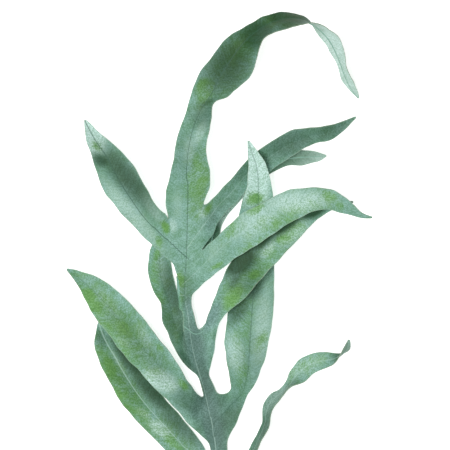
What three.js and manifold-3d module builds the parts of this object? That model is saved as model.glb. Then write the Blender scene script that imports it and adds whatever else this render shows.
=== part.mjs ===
// One cut frond of a lobed fern, lying on its back, grown as one piece: a round stalk that runs on as the
// midrib of the blade, and a thin leathery blade cut into long, waved, strap-like lobes.
// Units are millimetres. +Y runs from the cut stalk to the frond's top, +Z away from the surface it lies on.
// The origin is under the midrib at the foot of the blade, where the frond touches the surface.
import * as THREE from "three";
import { mergeVertices } from "three/addons/utils/BufferGeometryUtils.js";
import Module from "manifold-3d";

const BLADE_THICKNESS = 0.8;
const MIDRIB_DEPTH = 0.6; // how far a lobe's midrib stands out of its underside
const KEEL_ANGLE = 8; // degrees by which each half of a lobe rises from its midrib
const WAVE_LENGTH = 31; // of the waves along a lobe's margins
const WAVE_HEIGHT = 1.1;
const WAVE_LAG = 2; // radians by which the right margin's waves lag behind the left one's
const RIB_SLOPE = 1.5; // how fast a midrib fades to its sides: 1 reaches the margins, more is narrower
const RIB_FADE = 3; // a midrib fades out over one part in this many of its lobe
const ROOT_REACH = 15; // length over which a lobe's root opens into the blade along the midrib
const ROOT_ROWS = 4; // rows of faces along that length
const ROOT_LEAN = 0.7; // how far the sides of a root lean towards the lobe
const ROOT_RISE = 0.2; // how far a whole root leans towards the frond's top
const ROOT_HANDLE = 1 / 3; // stiffness of a root's curve, in shares of its length
const FOLD_HANDLE = 0.45; // the same for the folded lobe
const FOLD_DROP = 0.25; // how steeply the folded lobe leaves the midrib's margin
const AXIS_ROW = 5.25; // spacing of the rows of faces along the frond's midrib
const LOBE_ROW = 6.3; // the same along a lobe's
const AXIS_COLUMNS = 6; // faces across it
const AXIS_WAVE = 0.8; // share of the wave height
const STALK_SIDES = 12;
const SMALLEST_STEP = 0.05; // detail finer than this is smoothed away
const REST = [4.5, -11]; // middle of the flat under the foot of the blade, in the stations' x and y
const SURFACE_BLOCK = [600, 900, 50]; // larger than the frond, it takes off what is under the surface

// Every path is a row of stations: x, y and height of the midrib, then the width of the blade to the left
// and to the right of it, looking towards the tip, and the turn in degrees that lifts the right margin.
const AXIS = [
  [14.7, -91, 4.6, 1.8, 1.8, 0],
  [11.9, -73.5, 4.4, 4, 5, 0],
  [9.8, -56, 4, 5, 6, 0],
  [8.4, -35, 3.4, 3.5, 8.4, 0],
  [6.8, -23.1, 3, 5.5, 8.6, 0],
  [4.9, -12.6, 2.8, 6, 7.5, 0],
  [1.8, 1.4, 2.65, 1.6, 8.4, 0],
  [-0.5, 10.5, 2.9, 1.5, 6.8, 0],
  [-3.2, 19.3, 3.9, 1.8, 5.6, 0],
  [-6.1, 29.4, 5.6, 4.6, 6, 0],
  [-8.4, 39.9, 7.6, 5.4, 7.4, 0],
  [-9.8, 50.4, 9.6, 4.4, 5.4, 0],
  [-11.2, 60.9, 11.2, 3.6, 3.9, 0],
  [-13.1, 72.8, 12.8, 3.2, 4.4, 0],
  [-13, 84, 14.4, 4.6, 5.6, 0],
  [-12.6, 93.8, 15.8, 8.6, 6.6, 0],
  [-12.2, 103.6, 17.4, 10.6, 10.2, 0],
  [-11.8, 114.8, 19, 12, 9.5, 0],
  [-11.5, 126.7, 20.6, 13.7, 10, 0],
  [-11.2, 137.6, 22, 15.2, 10.7, -2],
  [-11.2, 149.8, 23.6, 15, 15, -4],
  [-11.5, 163.1, 26, 11, 15, -8],
  [-10.2, 175, 28.6, 10.2, 11.6, -6],
  [-7.4, 187.6, 32, 9.8, 10.6, 4],
  [-2.8, 199.5, 35, 10.8, 8.6, 10],
  [3.5, 210, 37.4, 13, 4.4, 14],
  [6.7, 215.3, 38, 14, 11, 10],
  [10.5, 222.6, 38.6, 14.5, 13.4, 4],
  [16.8, 232.8, 39, 14, 15.4, 0],
  [23.1, 242.2, 39.6, 13.5, 15.4, 8],
  [30.1, 250.3, 40.6, 12.6, 13, 25],
  [37.8, 256.6, 41.6, 12, 11, 42],
  [47.6, 262.2, 42.2, 11.5, 11.5, 52],
  [58.8, 265, 41.8, 11, 11, 60],
  [68.6, 264.3, 39.8, 10, 10, 78],
  [77.7, 259.4, 36, 9.5, 9.5, 108],
  [85.4, 252.4, 31, 9, 10, 126],
  [91, 243.6, 25, 8.2, 10, 134],
  [95.2, 234.2, 18.4, 6.4, 8.6, 128],
  [98.7, 225.4, 12, 4.6, 6.4, 128],
  [102.9, 217.7, 5.4, 2.8, 4, 140],
  [108.3, 211.2, 0.2, 0.7, 0.7, 150],
];

// The stalk below the blade: x, y and height of its centre line, down to the cut end.
const STALK = [
  [25.2, -169.4, 2.2],
  [21.7, -140, 3],
  [17.8, -114, 3.6],
];
// Radius of the stalk at the cut end, and of the midrib at even steps from the foot of the blade up.
const STALK_RADII = [2.4, 2.2, 2.1, 1.7, 1.4, 1.1, 0.8, 0.6];
const STALK_TOP = 0.66; // share of the midrib that stands out as a rod before it fades into the blade
const STALK_SINK = [0.55, 0.85]; // depth of the rod's centre under the blade, in radii, foot and top

// A lobe grows from the rows of the axis that start at `row`, one row for each of its columns, and `wave`
// is its share of the wave height. The folded one is turned back behind the midrib, so that it shows its
// underside.
const LOBES = [
  { side: "left", row: 4, columns: 6, wave: 0.2, path: [
    [2.8, -51.8, 4, 9, 8, 0],
    [-4.2, -42.7, 4.2, 10.5, 9.8, -4],
    [-11.9, -34.3, 4, 11, 11, -8],
    [-23.1, -22.1, 3.6, 11.2, 12.4, -12],
    [-35, -9.1, 3.4, 12, 12.6, -12],
    [-44.8, 2.8, 3.4, 12.6, 12.6, -12],
    [-53.9, 16.4, 3.8, 12, 12, -10],
    [-62.7, 31.5, 4.6, 10.6, 10.6, -6],
    [-69.3, 43.4, 5.6, 7, 7, 0],
    [-73.5, 54.6, 7, 0.8, 0.8, 0],
  ] },
  { side: "left", row: 12, columns: 6, wave: 1, path: [
    [-2.8, -9.1, 4.5, 10, 10, 0],
    [-11.2, 0.7, 8.5, 11.5, 11, 4],
    [-19.6, 11.2, 12, 12.4, 11.6, 8],
    [-35.7, 29.4, 16, 12.8, 12.4, 12],
    [-50.4, 45.5, 17.6, 12.8, 12.8, 12],
    [-61.6, 60.2, 17, 12.6, 12, 10],
    [-72.1, 72.1, 14.6, 11, 9.8, 4],
    [-82.6, 82.3, 12, 6.2, 6.4, -10],
    [-89.6, 87.9, 12, 3.4, 3.4, -16],
    [-95.5, 91.8, 13, 0.8, 0.8, -16],
  ] },
  { side: "left", row: 20, columns: 6, wave: 0.3, path: [
    [-12.6, 33.6, 6.5, 9, 7, 0],
    [-16.8, 44.1, 5.5, 9, 6.5, 0],
    [-21.4, 57.4, 4.2, 8, 7.4, -4],
    [-24.5, 70, 3, 6, 7.8, -6],
    [-29, 81.9, 1.8, 8.6, 8.4, -4],
    [-30.8, 94.5, 0.9, 8.6, 8.4, 0],
    [-30.1, 106.4, 0.8, 6.6, 6.4, 0],
    [-28.7, 119, 1.8, 3.6, 3.6, 0],
    [-27.7, 130.9, 3, 0.8, 0.8, 0],
  ] },
  { side: "left", row: 30, columns: 4, wave: 0.3, folded: true, path: [
    [-10.5, 77.7, 6.4, 9, 9, 180],
    [-4.9, 86.8, 5.2, 8, 8, 180],
    [0, 98, 4.2, 6.4, 6.4, 180],
    [5.3, 111.3, 3.6, 5.4, 5.4, 180],
    [11.2, 126, 3.2, 6.2, 6.2, 180],
    [22.4, 141.4, 3, 7.6, 7.6, 180],
    [35.7, 154, 3, 8.4, 8.4, 180],
    [47.6, 162.4, 3.2, 7.6, 7.6, 176],
    [58.8, 167.7, 4.2, 6.4, 6, 172],
    [69.3, 169.9, 5.4, 5.6, 5.4, 176],
    [77.7, 170.1, 6.8, 4.4, 4, 182],
    [85.4, 170.8, 8, 0.7, 0.7, 184],
  ] },
  { side: "left", row: 36, columns: 6, wave: 1, path: [
    [-21, 107.1, 19, 10, 10, 0],
    [-30.8, 116.9, 22, 9.6, 12, 0],
    [-41.3, 128.1, 25, 10.2, 11.6, 0],
    [-48.7, 138.6, 27, 12, 12.6, 0],
    [-56, 149.8, 28, 13.2, 13.6, 0],
    [-62.3, 161, 27.4, 12.6, 12.6, 0],
    [-67.2, 170.1, 26.6, 10.4, 10, 0],
    [-73.5, 179.2, 28, 7.6, 6.6, 0],
    [-78.8, 188.3, 30.6, 4.4, 3.6, 0],
    [-82.3, 195.3, 33, 0.8, 0.8, 0],
  ] },
  { side: "right", row: 3, columns: 4, wave: 0.6, path: [
    [18.9, -65.8, 5.2, 6, 6, 0],
    [26.6, -52.5, 6.5, 6, 6, 35],
    [32.2, -40.6, 8.5, 6, 6, 62],
    [37.5, -28.7, 10.4, 5.6, 6, 66],
    [43, -15.4, 11.4, 5.4, 6, 58],
    [44.5, -4.9, 11.4, 6, 6.5, 55],
    [51.1, 2.8, 10.6, 7, 7.4, 62],
    [58.1, 8.4, 9.8, 7.4, 7.4, 76],
    [65.1, 17.5, 9.2, 8, 8, 40],
    [73.5, 24.5, 9, 8.2, 7.6, 22],
    [82.6, 27.3, 9.2, 6.6, 6.6, 18],
    [89.6, 28.4, 10, 5.4, 5.4, 32],
    [95.2, 30.8, 11, 4.4, 4.4, 85],
    [99.4, 35, 12, 3.4, 3.4, 140],
    [101.2, 42.7, 13, 0.8, 0.8, 150],
  ] },
  { side: "right", row: 12, columns: 6, wave: 1, path: [
    [15.4, -9.1, 3.8, 9, 9, -6],
    [22.4, -2.8, 4.6, 9, 6.5, -22],
    [27.7, 7, 5, 10, 8.6, -28],
    [30.8, 20.3, 4.8, 13.6, 10.8, -12],
    [31.7, 33.6, 4.6, 16.6, 13, -2],
    [32.6, 47.6, 4.6, 17.6, 14, 3],
    [33.8, 64.4, 5, 16.8, 15, 5],
    [34.7, 78.4, 6, 15.4, 15.2, 5],
    [35.7, 92.4, 7.4, 14.6, 13.2, 3],
    [36.4, 106.4, 9.4, 14.6, 12.6, 0],
    [37.1, 120.4, 12, 14, 12, 0],
    [37.8, 134.4, 15.4, 12.6, 10.8, -4],
    [38.2, 147, 19, 9.6, 9.8, -8],
    [37.5, 159.6, 22, 6.2, 7.4, -8],
    [34.7, 170.1, 24.6, 3.6, 4.8, 0],
    [30.9, 181, 26, 0.8, 0.8, 0],
  ] },
  { side: "right", row: 21, columns: 6, wave: 0.8, path: [
    [-0.7, 42, 9, 7, 9, 0],
    [2.8, 48.3, 11.5, 5, 6.6, -8],
    [5.6, 54.6, 13.5, 4.4, 6, -12],
    [8.4, 62.3, 15.8, 4.4, 7.4, -10],
    [12.6, 70.7, 18, 5.4, 9.8, -4],
    [18.9, 80.5, 20, 7.8, 14, 6],
    [25.9, 89.6, 21.6, 10.6, 14.6, 12],
    [34.3, 98.7, 23, 12, 14, 14],
    [44.1, 107.1, 24, 12, 12.6, 12],
    [54.6, 115.5, 24, 10, 9.8, 8],
    [65.1, 123.9, 23.4, 7.8, 8.4, 4],
    [74.9, 130.2, 22, 5.6, 5.6, 0],
    [84.7, 134.4, 20, 4, 3.4, 0],
    [95, 137.2, 18.6, 2, 2, 0],
    [103.9, 138.6, 18, 0.7, 0.7, 0],
  ] },
  { side: "right", row: 32, columns: 6, wave: 0.8, path: [
    [-3.5, 90.3, 18, 11, 11, 0],
    [3.5, 98, 20.4, 11.4, 12, 0],
    [11.2, 105.4, 23.2, 12, 12.6, 4],
    [20.3, 112.7, 26.6, 13, 12.6, 6],
    [30.8, 119.7, 30, 13.8, 12.6, 4],
    [41.3, 126.7, 33, 13.2, 12, 0],
    [52.5, 133, 35.4, 12, 11.2, -2],
    [63.7, 137.9, 37, 10.6, 10.6, -6],
    [74.9, 140.5, 37.4, 8.6, 8.8, -10],
    [86.1, 140.5, 36, 7.8, 7.8, -16],
    [95.2, 137.9, 33.4, 6, 6.4, -20],
    [102.2, 133.5, 30.6, 4.2, 5, -20],
    [108.5, 129.6, 27.6, 2.2, 3.2, -10],
    [116.9, 127.7, 24.6, 0.7, 0.7, 0],
  ] },
  { side: "right", row: 38, columns: 6, wave: 0.8, path: [
    [-2.1, 121.1, 18.8, 9, 8.5, -4],
    [4.2, 128.8, 17.2, 8.6, 8, -10],
    [10.8, 136.5, 15.8, 7.4, 7.8, -16],
    [18.9, 144.9, 14.6, 6.8, 8.4, -20],
    [27.7, 155.1, 13.8, 7, 9, -18],
    [36.4, 162.8, 13.6, 8.4, 8.4, -12],
    [46.2, 169.8, 14.2, 9, 7.8, -10],
    [56.7, 176.4, 15.4, 9, 7.8, -8],
    [67.9, 182, 17, 8.8, 7, -12],
    [79.1, 185.5, 18.8, 5.6, 5, -22],
    [89.6, 188.3, 20.6, 5.2, 6.2, -18],
    [98, 192.9, 22.4, 2.8, 3.6, -10],
    [105.6, 197.5, 24, 0.7, 0.7, 0],
  ] },
];

const UP = new THREE.Vector3(0, 0, 1);

// A smooth line through rows of numbers, three at a time.
function smoothLine(rows) {
  const points = rows.map(([a, b, c]) => new THREE.Vector3(a, b, c));
  return new THREE.CatmullRomCurve3(points, false, "catmullrom", 0.5);
}

// The station at a distance along a path: its place, its directions, and the widths of the blade there.
function stationAt(line, widths, distance) {
  const t = line.getUtoTmapping(0, distance);
  const forward = line.getTangent(t);
  const level = forward.clone().cross(UP).normalize();
  const above = level.clone().cross(forward).normalize();
  const { x: left, y: right, z: turn } = widths.getPoint(t);
  const angle = THREE.MathUtils.degToRad(turn);
  const across = level.multiplyScalar(Math.cos(angle)).addScaledVector(above, Math.sin(angle));
  const normal = across.clone().cross(forward);
  return { place: line.getPoint(t), forward, across, normal, left, right };
}

// Rows of points across a blade that follows a path: flat halves that rise from the midrib, with waved
// margins. Each row holds its points from the left margin to the right one.
function bladeRows(path, rowLength, columns, wave) {
  const line = smoothLine(path);
  const widths = smoothLine(path.map((station) => station.slice(3)));
  line.arcLengthDivisions = 20 * path.length;
  const length = line.getLength();
  const count = Math.round(length / rowLength);
  const keel = THREE.MathUtils.degToRad(KEEL_ANGLE);
  const rows = [];
  for (let i = 0; i <= count; i += 1) {
    const distance = (length * i) / count;
    const station = stationAt(line, widths, distance);
    const ends = Math.sin((Math.PI * i) / count) ** 0.5;
    const points = [];
    for (let c = 0; c <= columns; c += 1) {
      const share = (2 * c) / columns - 1;
      const width = Math.abs(share) * (share < 0 ? station.left : station.right);
      const phase = (2 * Math.PI * distance) / WAVE_LENGTH + (share < 0 ? 0 : WAVE_LAG);
      const ripple = wave * WAVE_HEIGHT * share ** 2 * ends * Math.sin(phase);
      points.push(
        station.place
          .clone()
          .addScaledVector(station.across, Math.sign(share) * width * Math.cos(keel))
          .addScaledVector(station.normal, width * Math.sin(keel) + ripple),
      );
    }
    rows.push({ distance, forward: station.forward, points });
  }
  return rows;
}

// A sheet of shared points and four-sided faces; `centre` says how near a point is to a midrib.
const sheet = { points: [], centre: [], faces: [] };

function addPoint(point, centre) {
  sheet.centre.push(centre);
  return sheet.points.push(point) - 1;
}

// Faces between two rows of point numbers, facing the same way as the blade's upper side.
function joinRows(near, far) {
  for (let c = 0; c + 1 < near.length; c += 1) {
    sheet.faces.push([near[c], near[c + 1], far[c + 1], far[c]]);
  }
}

function nearMidrib(c, columns, tip) {
  return Math.max(0, 1 - Math.abs((2 * c) / columns - 1) * RIB_SLOPE) * tip;
}

const axisRows = bladeRows(AXIS, AXIS_ROW, AXIS_COLUMNS, AXIS_WAVE);
const axisIds = axisRows.map((row) => row.points.map((point) => addPoint(point, 0)));
for (let i = 0; i + 1 < axisIds.length; i += 1) {
  joinRows(axisIds[i], axisIds[i + 1]);
}

// A lobe's root shares its points with the margin of the axis, and opens out from it in a smooth curve.
function addLobe({ side, row, columns, wave, folded = false, path }) {
  const rows = bladeRows(path, LOBE_ROW, columns, wave).filter(({ distance }) => distance >= ROOT_REACH);
  const onLeft = side === "left";
  const edge = onLeft ? 0 : AXIS_COLUMNS;
  const inner = onLeft ? 1 : AXIS_COLUMNS - 1;
  const root = [];
  const bends = [];
  for (let c = 0; c <= columns; c += 1) {
    const axisRow = onLeft ? row + c : row + columns - c;
    const from = axisRows[axisRow].points[edge];
    const outward = from.clone().sub(axisRows[axisRow].points[inner]).normalize();
    const lean = onLeft ? 1 - (2 * c) / columns : (2 * c) / columns - 1;
    if (folded) {
      outward.z = -FOLD_DROP;
    } else {
      outward.addScaledVector(axisRows[axisRow].forward, ROOT_LEAN * lean + ROOT_RISE).normalize();
    }
    const goal = rows[0].points[c];
    const handle = (folded ? FOLD_HANDLE : ROOT_HANDLE) * from.distanceTo(goal);
    root.push(axisIds[axisRow][edge]);
    bends.push(
      new THREE.CubicBezierCurve3(
        from,
        from.clone().addScaledVector(outward, handle),
        goal.clone().addScaledVector(rows[0].forward, -handle),
        goal,
      ),
    );
  }
  const opening = [];
  for (let i = 1; i < ROOT_ROWS; i += 1) {
    opening.push(bends.map((bend) => bend.getPoint(i / ROOT_ROWS)));
  }
  const laid = [...opening, ...rows.map(({ points }) => points)];
  let before = root;
  laid.forEach((points, i) => {
    const tip = Math.min(1, (RIB_FADE * (laid.length - i)) / laid.length);
    const ids = points.map((point, c) => addPoint(point, nearMidrib(c, columns, tip)));
    joinRows(before, ids);
    before = ids;
  });
}

LOBES.forEach(addLobe);

// The closed blade: the sheet's faces on both sides of it, and a rim round its margin.
function thicken({ points, centre, faces }) {
  const normals = points.map(() => new THREE.Vector3());
  const rim = new Map();
  for (const face of faces) {
    const [a, b, c, d] = face.map((id) => points[id]);
    const normal = c.clone().sub(a).cross(d.clone().sub(b)).normalize();
    face.forEach((id, k) => {
      const next = face[(k + 1) % 4];
      normals[id].add(normal);
      if (!rim.delete(`${next} ${id}`)) {
        rim.set(`${id} ${next}`, [id, next]);
      }
    });
  }
  const count = points.length;
  const vertices = [];
  for (const way of [1, -1]) {
    points.forEach((point, id) => {
      const rib = way < 0 ? MIDRIB_DEPTH * centre[id] : 0;
      const offset = way * (BLADE_THICKNESS / 2 + rib);
      vertices.push(...point.clone().addScaledVector(normals[id].normalize(), offset).toArray());
    });
  }
  const triangles = [];
  for (const [a, b, c, d] of faces) {
    triangles.push(a, b, c, a, c, d);
    triangles.push(a + count, c + count, b + count, a + count, d + count, c + count);
  }
  for (const [a, b] of rim.values()) {
    triangles.push(a, a + count, b + count, a, b + count, b);
  }
  return { vertices, triangles };
}

// A round rod along a row of places, with a radius for each.
function rod(places, radii) {
  const line = smoothLine(places);
  const steps = places.length - 1;
  const vertices = [];
  const triangles = [];
  for (let i = 0; i <= steps; i += 1) {
    const centre = line.getPoint(i / steps);
    const forward = line.getTangent(i / steps);
    const level = forward.clone().cross(UP).normalize();
    const above = level.clone().cross(forward);
    for (let k = 0; k < STALK_SIDES; k += 1) {
      const angle = (2 * Math.PI * (k + 0.5)) / STALK_SIDES;
      const point = centre
        .clone()
        .addScaledVector(level, radii[i] * Math.cos(angle))
        .addScaledVector(above, radii[i] * Math.sin(angle));
      vertices.push(...point.toArray());
      if (i > 0) {
        const here = i * STALK_SIDES + k;
        const next = i * STALK_SIDES + ((k + 1) % STALK_SIDES);
        triangles.push(here - STALK_SIDES, next, next - STALK_SIDES, here - STALK_SIDES, here, next);
      }
    }
  }
  const last = steps * STALK_SIDES;
  for (let k = 1; k + 1 < STALK_SIDES; k += 1) {
    triangles.push(0, k, k + 1, last, last + k + 1, last + k);
  }
  return { vertices, triangles };
}

const wasm = await Module();
wasm.setup();

function solidOf({ vertices, triangles }) {
  const geometry = new THREE.BufferGeometry();
  geometry.setAttribute("position", new THREE.Float32BufferAttribute(vertices, 3));
  geometry.setIndex(triangles);
  const merged = mergeVertices(geometry, 1e-4);
  const vertProperties = new Float32Array(merged.attributes.position.array);
  const triVerts = new Uint32Array(merged.index.array);
  return new wasm.Manifold(new wasm.Mesh({ numProp: 3, vertProperties, triVerts }));
}

// Radius of the midrib at a share of its length.
function midribRadius(share) {
  const place = 1 + share * (STALK_RADII.length - 2);
  const before = Math.min(Math.floor(place), STALK_RADII.length - 2);
  return THREE.MathUtils.lerp(STALK_RADII[before], STALK_RADII[before + 1], place - before);
}

// The rod's centre line and radii: the bare stalk, then under the blade's midrib until it fades into it.
const rodPlaces = [...STALK];
const rodRadii = STALK.map((place, i) => {
  return THREE.MathUtils.lerp(STALK_RADII[0], STALK_RADII[1], i / STALK.length);
});
const lastRow = Math.round(axisRows.length * STALK_TOP);
for (let i = 0; i <= lastRow; i += 2) {
  const share = i / lastRow;
  const radius = midribRadius(share);
  const sink = THREE.MathUtils.lerp(STALK_SINK[0], STALK_SINK[1], share);
  const { x, y, z } = axisRows[i].points[AXIS_COLUMNS / 2];
  rodPlaces.push([x, y, z - sink * radius]);
  rodRadii.push(radius);
}

// What lies under the surface is cut away, which leaves small flats where the frond touches it.
function belowSurface() {
  const [width, length, depth] = SURFACE_BLOCK;
  const block = new THREE.BoxGeometry(width, length, depth).translate(0, 0, -depth / 2);
  block.deleteAttribute("normal");
  block.deleteAttribute("uv");
  const merged = mergeVertices(block);
  return solidOf({ vertices: [...merged.attributes.position.array], triangles: [...merged.index.array] });
}

// Joining leaves slivers, which are smoothed away, and specks sealed between rod and blade, which are filled.
const joined = solidOf(thicken(sheet)).add(solidOf(rod(rodPlaces, rodRadii))).subtract(belowSurface());
const [frond] = joined
  .simplify(SMALLEST_STEP)
  .decompose()
  .sort((a, b) => b.volume() - a.volume());
const mesh = frond.getMesh();
const geometry = new THREE.BufferGeometry();
geometry.setAttribute("position", new THREE.BufferAttribute(mesh.vertProperties, 3));
geometry.setIndex(new THREE.BufferAttribute(mesh.triVerts, 1));
geometry.computeVertexNormals();

const leaf = new THREE.MeshStandardMaterial({ color: "#7fa796", roughness: 0.62, metalness: 0 });
const blade = new THREE.Mesh(geometry, leaf);
blade.name = "frond";
blade.position.set(-REST[0], -REST[1], 0);

const group = new THREE.Group();
group.add(blade);

export default group;
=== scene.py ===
# %% [markdown]
# # A cut fern frond, laid flat and seen from above
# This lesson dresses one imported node, the frond of a lobed fern, in Blender. The frond is a single thin
# leathery blade with a waxy blue-green bloom, cut to its midrib into long waved lobes, and carried by a
# round stalk that runs on as the midrib. The coarse node stays for collision and is not shown. Finer
# pieces that keep its form stand for it: the blade, the stalk and the midribs.

import math

import bpy
import numpy as np
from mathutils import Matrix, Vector, kdtree, noise


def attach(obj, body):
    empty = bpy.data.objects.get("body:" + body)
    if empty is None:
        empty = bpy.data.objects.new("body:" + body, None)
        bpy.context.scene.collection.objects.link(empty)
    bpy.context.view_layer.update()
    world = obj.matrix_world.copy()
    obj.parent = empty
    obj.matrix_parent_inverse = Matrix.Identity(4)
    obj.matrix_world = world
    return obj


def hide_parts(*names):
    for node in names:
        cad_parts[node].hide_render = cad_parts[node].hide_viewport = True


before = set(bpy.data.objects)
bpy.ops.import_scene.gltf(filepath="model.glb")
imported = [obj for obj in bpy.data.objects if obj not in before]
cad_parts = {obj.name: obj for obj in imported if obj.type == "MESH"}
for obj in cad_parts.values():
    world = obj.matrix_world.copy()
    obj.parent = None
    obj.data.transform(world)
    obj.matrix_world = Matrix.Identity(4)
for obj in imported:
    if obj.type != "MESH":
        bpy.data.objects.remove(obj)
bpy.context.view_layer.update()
bpy.ops.object.select_all(action="DESELECT")
MM = 0.001

# %% [markdown]
# ## Camera
# The frond is seen from straight above, from far enough away to look flat. The picture is square and 315 mm
# wide at the surface. The stalk below the blade lies outside of it, at the bottom.

# %% Camera
# All measures are in millimetres; MM turns them into the scene's metres.
CAMERA_HEIGHT = 3000
PICTURE_WIDTH = 315
PICTURE_CENTRE = (10.2, 133.5)

camera_data = bpy.data.cameras.new("camera")
camera_data.sensor_width = 36
camera_data.lens = camera_data.sensor_width * CAMERA_HEIGHT / PICTURE_WIDTH
camera = bpy.data.objects.new("camera", camera_data)
camera.location = (PICTURE_CENTRE[0] * MM, PICTURE_CENTRE[1] * MM, CAMERA_HEIGHT * MM)
bpy.context.scene.collection.objects.link(camera)
bpy.context.scene.camera = camera
print("camera lens", round(camera_data.lens), "mm")

# %% [markdown]
# ## Floor and light
# The frond lies on white paper on a light table, so the paper stays white under the lobes, while the lobes
# still shade each other. Soft light comes from a pale sky and from one large lamp nearly straight above,
# a little to the left, which gives the level places the sheen of their wax. A small lamp would be sharper
# and harder than the light in the photograph.

# %% Floor and light
TABLE_GLOW = 0.62
TABLE_SIDE = 8000
TABLE_GAP = 0.05
SKY_STRENGTH = 0.5
LAMP_PLACE = (-500, 0, 2000)
LAMP_AIM = (0, 100, 0)
LAMP_WIDTH = 700
LAMP_WATTS = 31


def linear(colour):
    """A colour written as sRGB hex, as linear red, green, blue and 1."""
    parts = [int(colour[i : i + 2], 16) / 255 for i in (1, 3, 5)]
    return [p / 12.92 if p <= 0.04045 else ((p + 0.055) / 1.055) ** 2.4 for p in parts] + [1]


def add(material, kind, links=None, **settings):
    """Adds a node of a kind, with its settings; links gives each input a value or another node's output."""
    tree = material.node_tree
    made = tree.nodes.new(kind)
    for name, value in settings.items():
        setattr(made, name, value)
    for name, value in (links or {}).items():
        if isinstance(value, bpy.types.NodeSocket):
            tree.links.new(value, made.inputs[name])
        else:
            made.inputs[name].default_value = value
    return made


def new_material(name):
    """A material that holds only its output node."""
    material = bpy.data.materials.new(name)
    material.use_nodes = True
    material.node_tree.nodes.clear()
    add(material, "ShaderNodeOutputMaterial")
    return material


def finish_material(material, shader):
    """Sends the shader to the material's output."""
    output = material.node_tree.nodes["Material Output"]
    material.node_tree.links.new(shader.outputs[0], output.inputs["Surface"])


# Matt white paper, lit from below: white all over, with only faint soft shadows.
paper = new_material("white paper on a light table")
glow = add(paper, "ShaderNodeEmission", {"Color": linear("#FFFFFF"), "Strength": TABLE_GLOW})
matt = add(paper, "ShaderNodeBsdfDiffuse", {"Color": linear("#ECECEA")})
finish_material(paper, add(paper, "ShaderNodeAddShader", {0: glow.outputs[0], 1: matt.outputs[0]}))
bpy.ops.mesh.primitive_plane_add(size=TABLE_SIDE * MM, location=(0, 0, -TABLE_GAP * MM))
floor = bpy.context.object
floor.name = "floor"
floor.data.materials.append(paper)

world = bpy.data.worlds.new("studio")
bpy.context.scene.world = world
world.use_nodes = True
sky = world.node_tree.nodes["Background"]
sky.inputs["Color"].default_value = linear("#FFFFFF")
sky.inputs["Strength"].default_value = SKY_STRENGTH

bpy.ops.object.light_add(type="AREA", location=Vector(LAMP_PLACE) * MM)
lamp = bpy.context.object
lamp.name = "large lamp"
lamp.data.shape = "DISK"
lamp.data.size = LAMP_WIDTH * MM
lamp.data.energy = LAMP_WATTS
lamp.rotation_euler = (Vector(LAMP_AIM) * MM - lamp.location).to_track_quat("-Z", "Y").to_euler()
bpy.context.scene.view_settings.view_transform = "Standard"
print("floor, sky and one lamp of", LAMP_WATTS, "W")

# %% [markdown]
# ## The frond's measures
# A frond grows along its midrib, so each lobe is written as a row of stations along its own midrib: the
# place and height of the midrib, the width of the blade to its left and right, and the turn in degrees that
# lifts the right margin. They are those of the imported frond, in millimetres, with some widths and a few
# places changed by up to a few millimetres, to keep closer to the real margins.

# %% Stations
# The place of the frame's origin among the stations.
REST = (4.5, -11)

# The frond's own midrib, from the foot of the blade to the tip of the top lobe.
AXIS = [
    (14.7, -91, 4.6, 1.8, 1.8, 0),
    (11.9, -73.5, 4.4, 4, 5, 0),
    (9.8, -56, 4, 5, 6, 0),
    (8.4, -35, 3.4, 3.5, 8.4, 0),
    (6.8, -23.1, 3, 5.5, 8.6, 0),
    (4.9, -12.6, 2.8, 6, 7.5, 0),
    (1.8, 1.4, 2.65, 1.6, 8.4, 0),
    (-0.5, 10.5, 2.9, 1.5, 6.8, 0),
    (-3.2, 19.3, 3.9, 1.8, 5.6, 0),
    (-6.1, 29.4, 5.6, 3.6, 4.8, 0),
    (-8.4, 39.9, 7.6, 4.4, 6, 0),
    (-9.8, 50.4, 9.6, 4.4, 5.4, 0),
    (-11.2, 60.9, 11.2, 3.6, 3.9, 0),
    (-13.1, 72.8, 12.8, 3.2, 4.4, 0),
    (-13, 84, 14.4, 4.6, 5.6, 0),
    (-12.6, 93.8, 15.8, 8.6, 6.6, 0),
    (-12.2, 103.6, 17.4, 10.6, 10.2, 0),
    (-11.8, 114.8, 19, 12, 9.5, 0),
    (-11.5, 126.7, 20.6, 13.7, 10, 0),
    (-11.2, 137.6, 22, 15.2, 10.7, -2),
    (-11.2, 149.8, 23.6, 15.6, 15.8, -4),
    (-11.5, 163.1, 26, 10.6, 15.8, -8),
    (-10.2, 175, 28.6, 9.7, 11.2, -6),
    (-7.4, 187.6, 32, 9, 11, 4),
    (-2.8, 199.5, 35, 10, 9.6, 10),
    (3.5, 210, 37.4, 13, 4.4, 14),
    (6.7, 215.3, 38, 14, 11, 10),
    (10.5, 222.6, 38.6, 13.6, 13.4, 4),
    (16.8, 232.8, 39, 12.4, 17, 0),
    (23.1, 242.2, 39.6, 12.2, 16.2, 8),
    (30.1, 250.3, 40.6, 10, 13.4, 25),
    (37.8, 256.6, 41.6, 8.6, 11, 42),
    (47.6, 262.2, 41.4, 8.2, 11.8, 50),
    (58.8, 265, 40, 8.2, 13.6, 54),
    (68.6, 264.3, 37.8, 6.4, 13.4, 66),
    (77.7, 259.4, 36, 8, 9, 108),
    (85.4, 252.4, 31, 6, 8.2, 126),
    (91, 243.6, 25, 6, 6.8, 134),
    (95.2, 234.2, 18.4, 4.2, 5, 128),
    (98.7, 225.4, 12, 5.6, 4.8, 128),
    (102.9, 217.7, 5.4, 2.8, 4, 140),
    (108.3, 211.2, 0.2, 0.7, 0.7, 150),
]

# The bare stalk: x, y and height of its centre line. The radii run from the cut end up to where the rod
# ends under the blade, at a share of the axis's rows.
STALK = [(25.2, -169.4, 2.2), (21.7, -140, 3), (17.8, -114, 3.6)]
STALK_RADII = [2.4, 2.2, 2.1, 1.7, 1.4, 1.1, 0.8, 0.6]
STALK_TOP = 0.66

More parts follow.
